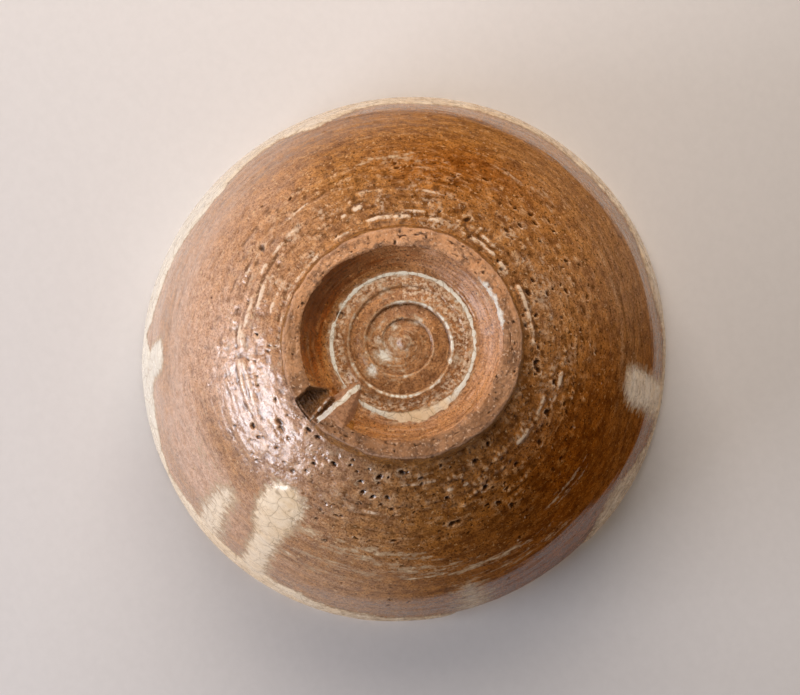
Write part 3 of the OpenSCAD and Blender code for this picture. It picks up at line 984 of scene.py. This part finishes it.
def well(glaze):
    """The glazed well in the foot: nub, spiral, torn ledge, spur and sloping side in one skin."""
    columns = 640
    floor_rows = 92
    slope_rows = 38
    hub_r = 0.15
    skin_t = 0.12
    ring_dial = np.arange(columns) * 360 / columns
    # By the spur the skin reaches further onto the face
    edge_r = face_in_r + waves(FACE_IN_WAVES, ring_dial) + ease((12 - np.abs(turned(ring_dial, 131))) / 3)
    way = np.linspace(0, 1, slope_rows + 1)[1:, None]
    floor_r = np.tile(np.linspace(hub_r, well_r, floor_rows)[:, None], columns)
    r = np.concatenate([floor_r, well_r + (edge_r + 0.15 - well_r) * way ** 0.9])
    dial, lane = ring_grid(columns, np.linspace(0, 1, len(r)))

    raised, crest = spiral(dial, r)
    rim_share = ease((r - 15.0) / 1.6)
    z = (base_z - step_h * raised - nub_height(dial, r)) * (1 - rim_share) + well_z * rim_share
    # The side curves out of the floor and steepens towards the ring
    z[floor_rows:] = side_of_well(way)
    # The ledge outside the spiral is torn and rough, and has a nick
    outside = on_line(SPIRAL_RADII, 1 + ((dial - spiral_dial) % 360) / 360)
    ledge = ease((r - outside - 0.3) / 1.2) * ease((16.4 - r) / 0.8)
    x = r * np.cos(np.radians(dial))
    y = r * np.sin(np.radians(dial))
    z += ledge * (0.10 * plane_noise(x, y, 0.55, 61) + 0.10 * lattice(dial, lane, 60, 110, 62))
    z += (0.04 + 0.12 * (r > well_r)) * (1 - ledge) * lattice(dial, lane, 14, 60, 63) * ease(r / 5)
    z += 0.07 * plane_noise(x, y, 2.2, 65) + 0.03 * plane_noise(x, y, 0.7, 67)
    nick = np.clip(1 - np.hypot(np.radians(turned(dial, 205.6)) * r / 0.9, r - 15.7) ** 2, 0, 1)
    z += 0.9 * nick

    points = place(dial, r, z)
    spur = spur_height(points) + 0.10 * lattice(dial, lane, 120, 60, 66)
    sunk = 1 - ease((points[..., 2] - spur + 0.1) / 0.2)
    points[..., 2] = np.minimum(points[..., 2], spur)
    cut = notch_cut(points)
    in_notch = cut > cut_side
    notched = ease(cut + skin_t - points[..., 2]) * in_notch
    points[..., 2] = np.where(in_notch, np.maximum(points[..., 2], cut + skin_t), points[..., 2])
    # The top edge dips under the bare face
    points[-1, :, 2] += 0.3

    side = ease((r - well_r) / 2)
    broken = 0.75 + 0.45 * lattice(dial, lane, 120, 8, 64)
    halo = bell((r - pool_r - 0.1) / (0.5 + ring_curve(POOL_WIDTHS, dial)))
    rubble = notch_rubble(points) * notched
    # The notch's slanting side, which faces the light: a painted highlight
    facet_highlight = notch_highlight(points) * (cut > cut_glaze)
    # White of the spiral's crests, partly a painted highlight, the pool's halo and the painted highlights
    crests_and_highlights = np.maximum.reduce([crest * broken, 0.5 * halo * broken, floor_highlight(dial, r)]) * sunk
    # Painted shadow under the overhanging edge on one side
    shade = 0.52 * by_dial(dial, 206, 62) * ease((r - well_r - 0.5) / 3.5) * sunk
    # The side of the well that faces the lamps, painted warmer and lighter: painted light
    lit_side = 0.5 + 0.5 * np.cos(np.radians(turned(dial, 350)))
    marks = {
        "white": np.clip(np.maximum.reduce([crests_and_highlights, facet_highlight, 0.7 * rubble]), 0, 1),
        # Dark in the nick, a painted shade in the notch, and the painted shadow under the edge
        "pit_and_shade": np.maximum.reduce([nick, 0.5 * notched * (1 - rubble), shade]),
        # Pale spiral crests: partly a painted highlight
        "ridge": 0.35 * crest * sunk,
        "torn": 1.2 * ledge * sunk,
        "warm_and_lit": (0.35 + 0.65 * side * lit_side) * sunk,
        "cool": 0.9 * ease(r / 2),
        # The side of the well darker round dial 206: painted shadow under the overhanging edge, with noise
        "painted_light_tint": 0.25 - side * (1.2 * by_dial(dial, 206, 66) + 0.6 * lattice(dial, lane, 30, 50, 68)),
        # Raised steps painted lighter and hollows darker: painted light and shade
        "proud": proud_of(-z, 5, 3, 0.42) * sunk,
        "bare": (1 - sunk) * (1 - facet_highlight),
    }
    roof = foot_h + 0.6
    low = np.stack([place(ring_dial, a, b) for a, b in ((hub_r, roof), (17.2, roof), (edge_r + 0.7, 1.6))])
    cut = notch_cut(low)
    low[..., 2] = np.where(cut > cut_side, np.maximum(low[..., 2], cut + 0.6), low[..., 2])
    nodes = ["turned_boss", "spiral_ridge", "well_glaze"]
    add_piece("turned_well", closed_shell(points, low, hub=True), glaze, nodes, marks)


def pool(glaze):
    """White glaze pooled in a ring where the floor meets the side of the well, thickest on one side."""
    dial, u = ring_grid(560, np.linspace(-1, 1, 15))
    half = ring_curve(POOL_WIDTHS, dial) * (1 + 0.25 * lattice(dial, 0.0, 110, 1, 71))
    shift = pool_shift[1] * np.cos(np.radians(turned(dial, pool_shift[0])))
    # The pool widens up the side of the well more than over the ledge
    r = pool_r + shift + u * half + 0.25 * half
    crown = np.sqrt(np.clip(1 - u * u, 0, 1))
    bed = well_z - 0.42 * ease((r - well_r) / 2.2) - 0.35 * ease((15.6 - r) / 1.2)
    z = bed - (0.06 + 0.14 * half) * crown + 0.05
    # The underside takes the two edges and the middle
    under = place(dial[:3], r[::7], bed[::7] + 0.5)
    marks = {
        "white": 1 - 0.55 * np.abs(u) ** 3 - 0.2 * (u < 0) * np.abs(u),
        "cool": 1 - ease((half - 0.7) / 0.6),
    }
    shell = closed_shell(place(dial, r, z), under)
    add_piece("pooled_ring", shell, glaze, ["pooled_glaze"], marks)


# Materials

def plug(tree, socket, value):
    """Link a socket to another one, or give it a value. A colour of three numbers is made opaque."""
    if isinstance(value, bpy.types.NodeSocket):
        tree.links.new(value, socket)
    elif socket.type == "RGBA":
        socket.default_value = (*value[:3], 1)
    else:
        socket.default_value = value


def add_node(tree, kind, values=None, **settings):
    """A new node with these settings, and values for its sockets by name or number."""
    new = tree.nodes.new(kind)
    for key, value in settings.items():
        setattr(new, key, value)
    for key, value in (values or {}).items():
        plug(tree, new.inputs[key], value)
    return new


class Look:
    """A new material, with short ways to add to its nodes. Colours are three numbers or a socket."""

    def __init__(self, name):
        self.material = bpy.data.materials.new(name)
        self.material.use_nodes = True
        self.tree = self.material.node_tree
        self.shader = self.tree.nodes["Principled BSDF"]
        # Coordinates in metres in the frame of the bowl
        self.where = self.node("ShaderNodeTexCoord").outputs["Object"]

    def node(self, kind, values=None, **settings):
        """A new node of this material."""
        return add_node(self.tree, kind, values, **settings)

    def feed(self, socket, value):
        """Give one of the shader's sockets a value or a link."""
        plug(self.tree, self.shader.inputs[socket], value)

    def noise(self, scale, detail=4.0, roughness=0.55, at=None):
        """Noise as a number, in the bowl's frame or at another vector."""
        values = {"Vector": at or self.where, "Scale": scale, "Detail": detail, "Roughness": roughness}
        return self.node("ShaderNodeTexNoise", values).outputs["Fac"]

    def fit(self, value, low, high, to_low=0.0, to_high=1.0):
        """A number moved from one range to another with level ends."""
        values = {"Value": value, "From Min": low, "From Max": high, "To Min": to_low, "To Max": to_high}
        return self.node("ShaderNodeMapRange", values, interpolation_type="SMOOTHSTEP").outputs["Result"]

    def math(self, operation, a, b=0.0):
        """Arithmetic on numbers or sockets."""
        return self.node("ShaderNodeMath", {0: a, 1: b}, operation=operation).outputs[0]

    def plus(self, a, b):
        """Sum of two numbers."""
        return self.math("ADD", a, b)

    def times(self, a, b):
        """Product of two numbers."""
        return self.math("MULTIPLY", a, b)

    def mix(self, factor, a, b, blend="MIX"):
        """Two colours mixed by a factor."""
        new = self.node("ShaderNodeMix", {"Factor": factor}, data_type="RGBA", blend_type=blend)
        for key, value in (("A", a), ("B", b)):
            plug(self.tree, next(s for s in new.inputs if s.name == key and s.type == "RGBA"), value)
        return next(s for s in new.outputs if s.type == "RGBA")

    def layer(self, base, value, low, high, share, colour):
        """A colour over a base where a value rises from low to high, at most at this share."""
        return self.mix(self.fit(value, low, high, 0.0, share), base, colour)

    def mark(self, name):
        """A mark stored on the mesh, as a number."""
        new = self.node("ShaderNodeAttribute", attribute_name=name, attribute_type="GEOMETRY")
        return new.outputs["Fac"]

    def lanes(self):
        """Coordinates in which noise is drawn out into lines round the bowl."""
        x, y, z = self.node("ShaderNodeSeparateXYZ", {"Vector": self.where}).outputs
        reach = self.math("SQRT", self.plus(self.times(x, x), self.times(y, y)))
        length = self.math("MINIMUM", self.times(reach, 0.4), 0.014)
        swept = self.times(self.math("ARCTAN2", y, x), length)
        return self.node("ShaderNodeCombineXYZ", {0: reach, 1: swept, 2: z}).outputs[0]

    def bump(self, height, strength, distance):
        """Fine relief of the surface."""
        values = {"Height": height, "Strength": strength, "Distance": distance}
        self.feed("Normal", self.node("ShaderNodeBump", values).outputs["Normal"])


def crackle(look, scale, width):
    """Fine craze lines, 1 on a line and 0 off it."""
    stray = (0.0035, 0.0035, 0.0035)
    bent = look.node("ShaderNodeTexNoise", {"Vector": look.where, "Scale": scale * 0.8, "Detail": 2.0})
    moved = look.node("ShaderNodeVectorMath", {0: bent.outputs["Color"], 1: stray}, operation="MULTIPLY")
    at = look.node("ShaderNodeVectorMath", {0: look.where, 1: moved.outputs[0]}, operation="ADD").outputs[0]
    cells = look.node("ShaderNodeTexVoronoi", {"Vector": at, "Scale": scale}, feature="DISTANCE_TO_EDGE")
    return look.fit(cells.outputs["Distance"], 0.0, width, 1.0, 0.0)


def amber_colour(look, lanes):
    """Amber glaze over speckled clay: mottled, streaked round the bowl, with dark specks and pale grit."""
    mottle = look.fit(look.noise(300.0, 7.0, 0.74), 0.34, 0.66)
    amber = look.mix(mottle, (0.17, 0.055, 0.006), (0.49, 0.205, 0.042))
    amber = look.layer(amber, look.noise(900.0, 3.0, 0.6, lanes), 0.48, 0.72, 0.5, (0.56, 0.28, 0.10))
    # Lighter where the relief stands proud: a painted highlight
    proud = look.mark("proud")
    amber = look.layer(amber, proud, 0.12, 0.8, 0.55, (0.74, 0.47, 0.26))
    # Paler and pinker towards the window: a painted sheen
    light_tint_mark = look.mark("painted_light_tint")
    pale = look.fit(look.noise(620.0, 5.0, 0.7), 0.34, 0.66)
    pale = look.mix(pale, (0.56, 0.315, 0.20), (0.86, 0.57, 0.42))
    amber = look.layer(amber, light_tint_mark, 0.0, 1.0, 0.8, pale)
    # Painted reflection of the table under the lip and painted sheen on the wall
    amber = look.mix(look.times(look.mark("painted_sheen"), 0.8), amber, (0.74, 0.47, 0.31))
    # Warmer orange in the well, most on its lit side: partly its tone, partly painted light
    amber = look.layer(amber, look.mark("warm_and_lit"), 0.0, 1.0, 0.45, (0.64, 0.31, 0.145))
    amber = look.layer(amber, look.noise(620.0, 2.0, 0.6, lanes), 0.52, 0.74, 0.34, (0.11, 0.036, 0.006))
    amber = look.layer(amber, look.noise(2600.0, 2.0, 0.6), 0.45, 0.64, 0.55, (0.11, 0.036, 0.007))
    # Darker where the relief lies low: a painted shade in the hollows
    amber = look.mix(look.fit(proud, -0.75, -0.08, 0.7, 0.0), amber, (0.07, 0.024, 0.004))
    grain = look.fit(look.noise(1700.0, 2.0, 0.6), 0.55, 0.68, 0.0, 0.8)
    grain = look.times(grain, look.fit(light_tint_mark, -0.2, 0.7, 1.0, 0.35))
    amber = look.mix(grain, amber, (0.045, 0.016, 0.004))
    amber = look.layer(amber, look.noise(1250.0, 2.0, 0.5), 0.62, 0.74, 0.7, (0.68, 0.45, 0.25))
    flecks = look.fit(look.noise(1100.0, 4.0, 0.65), 0.45, 0.62, 0.0, 0.85)
    amber = look.mix(look.times(look.mark("torn"), flecks), amber, (0.66, 0.48, 0.33))
    # Deeper and more saturated away from the lamps: a painted shade
    amber = look.mix(look.fit(light_tint_mark, -1.0, 0.0, 0.95, 0.0), amber, (0.71, 0.42, 0.075), "MULTIPLY")
    # Pale tops of ridges, drags and crests, broken up: mostly a painted highlight
    gaps = look.fit(look.noise(900.0, 4.0, 0.65), 0.36, 0.58, 0.3, 1.2)
    amber = look.layer(amber, look.times(look.mark("ridge"), gaps), 0.15, 0.6, 0.78, (0.80, 0.63, 0.47))
    # Dark in the pits, with the painted shade of the notch and the painted shadow in the well
    return look.layer(amber, look.mark("pit_and_shade"), 0.15, 0.8, 0.9, (0.035, 0.013, 0.005))


def crazed(look, cream):
    """White glaze with its stains, fine and wide craze lines."""
    cream = look.layer(cream, look.noise(1200.0, 3.0), 0.58, 0.74, 0.45, (0.45, 0.31, 0.18))
    share = look.fit(look.noise(130.0, 2.0), 0.38, 0.62, 0.12, 0.45)
    cream = look.mix(look.times(crackle(look, 420.0, 0.04), share), cream, (0.32, 0.20, 0.11))
    cream = look.mix(look.times(crackle(look, 190.0, 0.12), 0.14), cream, (0.50, 0.36, 0.20))
    return look.mix(look.times(crackle(look, 190.0, 0.026), 0.5), cream, (0.22, 0.13, 0.06))


glaze_ior = 1.52


def glaze_material():
    """Amber glaze, with the white glaze where it has run over it, painted highlights in white and bare clay
    on the spur.
    """
    look = Look("amber_and_white_glaze")
    lanes = look.lanes()
    amber = amber_colour(look, lanes)

    # White glaze, and in the well and the notch painted highlights too
    white = look.mark("white")
    ragged = look.fit(look.noise(800.0, 5.0, 0.7), 0.25, 0.75, -0.24, 0.24)
    hairs = look.fit(look.noise(1100.0, 2.0, at=lanes), 0.25, 0.75, -0.18, 0.18)
    cover = look.times(look.plus(look.plus(white, ragged), hairs), look.fit(white, 0.0, 0.15))
    thin = look.layer(amber, cover, 0.12, 0.5, 0.8, (0.52, 0.35, 0.21))
    tone = look.fit(look.noise(110.0, 3.0), 0.35, 0.65)
    cream = look.mix(tone, (0.79, 0.56, 0.33), (0.88, 0.69, 0.48))
    cream = look.mix(look.mark("cool"), cream, (0.81, 0.77, 0.67))
    colour = look.layer(thin, cover, 0.36, 0.86, 1.0, crazed(look, cream))

    bare = look.mark("bare")
    grain = look.fit(look.noise(1300.0, 4.0, 0.65), 0.4, 0.7)
    clay = look.mix(grain, (0.47, 0.25, 0.14), (0.22, 0.105, 0.05))
    look.feed("Base Color", look.layer(colour, bare, 0.3, 0.8, 0.85, clay))

    gloss = look.fit(look.noise(300.0, 3.0), 0.3, 0.7, 0.15, 0.32)
    dull = look.plus(look.times(bare, 0.3), look.times(look.mark("warm_and_lit"), 0.3))
    look.feed("Roughness", look.plus(gloss, dull))
    look.feed("IOR", glaze_ior)
    look.feed("Specular IOR Level", look.fit(look.mark("dim"), 0.0, 1.0, 0.85, 0.0))
    height = look.times(look.noise(270.0, 2.0), 0.9)
    height = look.plus(height, look.times(look.noise(1000.0, 2.0, at=lanes), 0.12))
    height = look.plus(height, look.times(look.noise(1400.0, 3.0, 0.6), 0.3))
    look.bump(look.times(height, look.fit(cover, 0.3, 0.8, 1.0, 0.3)), 0.6, 0.0006)
    return look.material


def clay_material():
    """Bare fired clay of the foot, darker with its stain and a painted shade, and amber where the glaze has
    wetted it.
    """
    look = Look("bare_foot_clay")
    lanes = look.lanes()
    broad = look.fit(look.noise(120.0), 0.3, 0.7)
    bare = look.mix(broad, (0.60, 0.285, 0.125), (0.72, 0.385, 0.20))
    dull = look.mix(broad, (0.31, 0.150, 0.068), (0.46, 0.240, 0.120))
    # Stain and painted shade: darker away from the upper window
    bare = look.layer(bare, look.mark("stain_and_shade"), 0.25, 0.85, 1.0, dull)
    bare = look.layer(bare, look.noise(330.0, 5.0, 0.65), 0.47, 0.66, 0.8, (0.19, 0.095, 0.05))
    bare = look.layer(bare, look.noise(700.0, 3.0, at=lanes), 0.45, 0.75, 0.25, (0.21, 0.115, 0.065))
    bare = look.layer(bare, look.noise(900.0, 5.0, 0.7), 0.52, 0.68, 0.75, (0.15, 0.078, 0.044))
    bare = look.layer(bare, look.noise(1500.0, 3.0, 0.6), 0.57, 0.70, 0.7, (0.80, 0.55, 0.38))
    share = look.fit(look.mark("bare"), 0.3, 0.7)
    colour = look.mix(share, amber_colour(look, lanes), bare)
    # Dark in the pocks, and on the notch's floor a painted shade
    colour = look.layer(colour, look.mark("pit_and_shade"), 0.2, 0.8, 0.8, (0.055, 0.026, 0.014))
    # Pale line on the outer edge of the face: a painted highlight
    colour = look.layer(colour, look.mark("edge"), 0.3, 1.0, 0.4, (0.62, 0.37, 0.25))
    # White: painted highlights on the notch's slanting side, its crumbs and the ring's inner edge
    ragged = look.fit(look.noise(900.0), 0.25, 0.75, -0.25, 0.25)
    cover = look.plus(look.mark("white"), ragged)
    look.feed("Base Color", look.layer(colour, cover, 0.35, 0.75, 1.0, (0.80, 0.74, 0.66)))
    look.feed("Roughness", look.fit(share, 0.0, 1.0, 0.40, 0.70))
    look.feed("Specular IOR Level", 0.25)
    grain = look.plus(look.noise(1100.0, 5.0, 0.7), look.times(look.noise(1200.0, 2.0, at=lanes), 0.4))
    look.bump(grain, 0.9, 0.0008)
    return look.material


def white_material():
    """Cream white crackle glaze, a little warmer where it lies thick."""
    look = Look("white_crackle_glaze")
    tone = look.fit(look.noise(55.0, 3.0), 0.3, 0.7)
    look.feed("Base Color", crazed(look, look.mix(tone, (0.77, 0.66, 0.48), (0.84, 0.77, 0.62))))
    look.feed("Roughness", look.fit(look.noise(180.0, 3.0), 0.3, 0.7, 0.2, 0.36))
    look.feed("IOR", glaze_ior)
    look.bump(look.noise(420.0, 3.0), 0.25, 0.0003)
    return look.material


def hidden_clay_material():
    """Fired clay under the glazes."""
    look = Look("fired_clay")
    clay = look.mix(look.fit(look.noise(120.0), 0.3, 0.7), (0.36, 0.19, 0.09), (0.46, 0.27, 0.14))
    look.feed("Base Color", look.layer(clay, look.noise(1500.0), 0.58, 0.7, 0.7, (0.12, 0.06, 0.035)))
    look.feed("Roughness", look.fit(look.noise(400.0), 0.3, 0.7, 0.6, 0.8))
    look.bump(look.noise(1500.0), 0.5, 0.0003)
    return look.material


# Stage: the bowl stands on a floor, and the photograph shows the same bowl overturned on a table

# Distances from the axis in metres between which the floor fades out into the pale surround
FLOOR_FADE = (0.08, 0.4)
# Lamps: name, dial and height in degrees as seen from the bowl, distance, width and height in metres, power,
# colour, and whether the glaze mirrors it. Those of the photograph, a low window on the left of the foot and
# a warmer one above, come first. The ceiling lights the floor and the inside, but not the outer wall.
LAMPS = [
    ("window", 159, -19, 0.64, (0.44, 0.22), 3.4, (0.95, 0.97, 1.06), True),
    ("upper_window", 266, -49, 0.36, (0.28, 0.28), 1.3, (1.0, 0.88, 0.77), False),
    ("fill", 28, -24, 1.2, (0.8, 0.8), 1.8, (1.0, 0.88, 0.77), False),
    ("ceiling", 0, 89, 0.9, (0.45, 0.45), 4.5, (1.0, 0.98, 0.95), False),
]


def one_sided(name, colour, fade=None):
    """Pale matte surface that shows on its front only, and fades out between two distances from the axis."""
    look = Look(name)
    shade = look.fit(look.noise(500.0, 3.0), 0.2, 0.8)
    look.feed("Base Color", look.mix(shade, colour, [c * 0.97 for c in colour]))
    look.feed("Roughness", 0.9)
    look.feed("Specular IOR Level", 0.1)
    hidden = look.node("ShaderNodeNewGeometry").outputs["Backfacing"]
    if fade:
        reach = look.node("ShaderNodeVectorMath", {0: look.where}, operation="LENGTH").outputs["Value"]
        hidden = look.math("MAXIMUM", hidden, look.fit(reach, *fade))
    clear = look.node("ShaderNodeBsdfTransparent").outputs[0]
    both = look.node("ShaderNodeMixShader", {0: hidden, 1: look.shader.outputs[0], 2: clear})
    look.tree.links.new(both.outputs[0], look.tree.nodes["Material Output"].inputs["Surface"])
    return look.material


def add_disc(name, z, inner, outer, facing_up, material):
    """A flat ring round the axis that faces up or down."""
    columns = 96
    turn = np.arange(columns) * 2 * math.pi / columns
    level = np.full(columns, z)
    rings = [np.stack([r * np.cos(turn), r * np.sin(turn), level], axis=-1) for r in (inner, outer)]
    quads = strip_quads(np.arange(columns), np.arange(columns) + columns, True)
    mesh = bpy.data.meshes.new(name)
    mesh.from_pydata(np.concatenate(rings).tolist(), [], (quads if facing_up else quads[:, ::-1]).tolist())
    mesh.materials.append(material)
    disc = bpy.data.objects.new(name, mesh)
    bpy.context.scene.collection.objects.link(disc)
    disc.visible_shadow = False
    return disc


def add_lamp(name, dial, height, distance, size, power, colour, mirrored):
    """Soft lamp that is aimed at the bowl."""
    lamp = bpy.data.lights.new(name, "AREA")
    lamp.shape = "RECTANGLE"
    lamp.size, lamp.size_y = size
    lamp.energy = power
    lamp.color = colour
    turn = math.radians(dial + dial_turn)
    rise = math.radians(height)
    way = Vector((math.cos(rise) * math.cos(turn), math.cos(rise) * math.sin(turn), math.sin(rise)))
    holder = bpy.data.objects.new(name, lamp)
    holder.location = Vector((0, 0, bowl_h * MM * 0.6)) + way * distance
    holder.rotation_euler = (-way).to_track_quat("-Z", "Y").to_euler()
    holder.visible_glossy = mirrored
    bpy.context.scene.collection.objects.link(holder)


def surround():
    """Faint even light from all round, which the camera sees as a pale background."""
    world = bpy.data.worlds.new("surround")
    world.use_nodes = True
    tree = world.node_tree
    light = tree.nodes["Background"]
    light.inputs["Color"].default_value = (1.0, 0.975, 0.95, 1)
    light.inputs["Strength"].default_value = 0.14
    pale = add_node(tree, "ShaderNodeBackground", {"Color": (0.80, 0.77, 0.75, 1), "Strength": 1.0})
    seen = add_node(tree, "ShaderNodeLightPath").outputs["Is Camera Ray"]
    both = add_node(tree, "ShaderNodeMixShader", {0: seen, 1: light.outputs[0], 2: pale.outputs[0]})
    tree.links.new(both.outputs[0], tree.nodes["World Output"].inputs["Surface"])
    bpy.context.scene.world = world
    world.cycles_visibility.glossy = False


def stage():
    """Floor under the standing bowl, table under the overturned one, lamps and surround."""
    floor = add_disc("floor", 0.0, 0.001, 1.0, True, one_sided("pale_floor", (0.68, 0.66, 0.65), FLOOR_FADE))
    floor.visible_diffuse = False
    floor.visible_glossy = False
    table_z = bowl_h * MM + 0.0008
    table_pale = one_sided("pale_table", (0.66, 0.635, 0.63))
    add_disc("table", table_z, (mouth_r - 3.0) * MM, 3.0, False, table_pale)
    for lamp in LAMPS:
        add_lamp(*lamp)
    surround()


# Camera of the photograph, below the standing bowl and nearly on its axis

photo_width = 800
photo_height = 695
sensor_w = 36.0
camera_reach = 1100.0
# Pixels to a millimetre at the rim, pixel of the rim's middle, and the camera's place off the axis in mm
rim_scale = 4.156
rim_pixel = (402.0, 359.0)
camera_off = (-1.7, 52.6)


def camera():
    """Camera that sees the rim and the foot where the photograph shows them."""
    right_turn = math.radians(dial_turn)
    right = Vector((math.cos(right_turn), math.sin(right_turn), 0))
    down = Vector((math.cos(right_turn + math.pi / 2), math.sin(right_turn + math.pi / 2), 0))
    rim = Vector((0, 0, bowl_h))
    spot = rim + right * camera_off[0] + down * camera_off[1] - Vector((0, 0, camera_reach))
    aim_x = (photo_width / 2 - rim_pixel[0]) / rim_scale
    aim_y = (photo_height / 2 - rim_pixel[1]) / rim_scale
    ahead = (rim + right * aim_x + down * aim_y - spot).normalized()
    side = (right - ahead * right.dot(ahead)).normalized()
    up = side.cross(ahead)
    data = bpy.data.cameras.new("photo_camera")
    data.sensor_width = sensor_w
    data.lens = rim_scale * camera_reach * sensor_w / photo_width
    data.clip_start = 0.01
    holder = bpy.data.objects.new("photo_camera", data)
    turn = Matrix((side, up, -ahead)).transposed().to_4x4()
    holder.matrix_world = Matrix.Translation(spot * MM) @ turn
    bpy.context.scene.collection.objects.link(holder)
    bpy.context.scene.camera = holder


glaze = glaze_material()
coat(glaze)
for run_name in RUNS:
    run(run_name, glaze)
lip(glaze)
lining(white_material())
body(hidden_clay_material())
foot(clay_material())
well(glaze)
pool(glaze)
stage()
camera()
bpy.context.scene.view_settings.view_transform = "Standard"
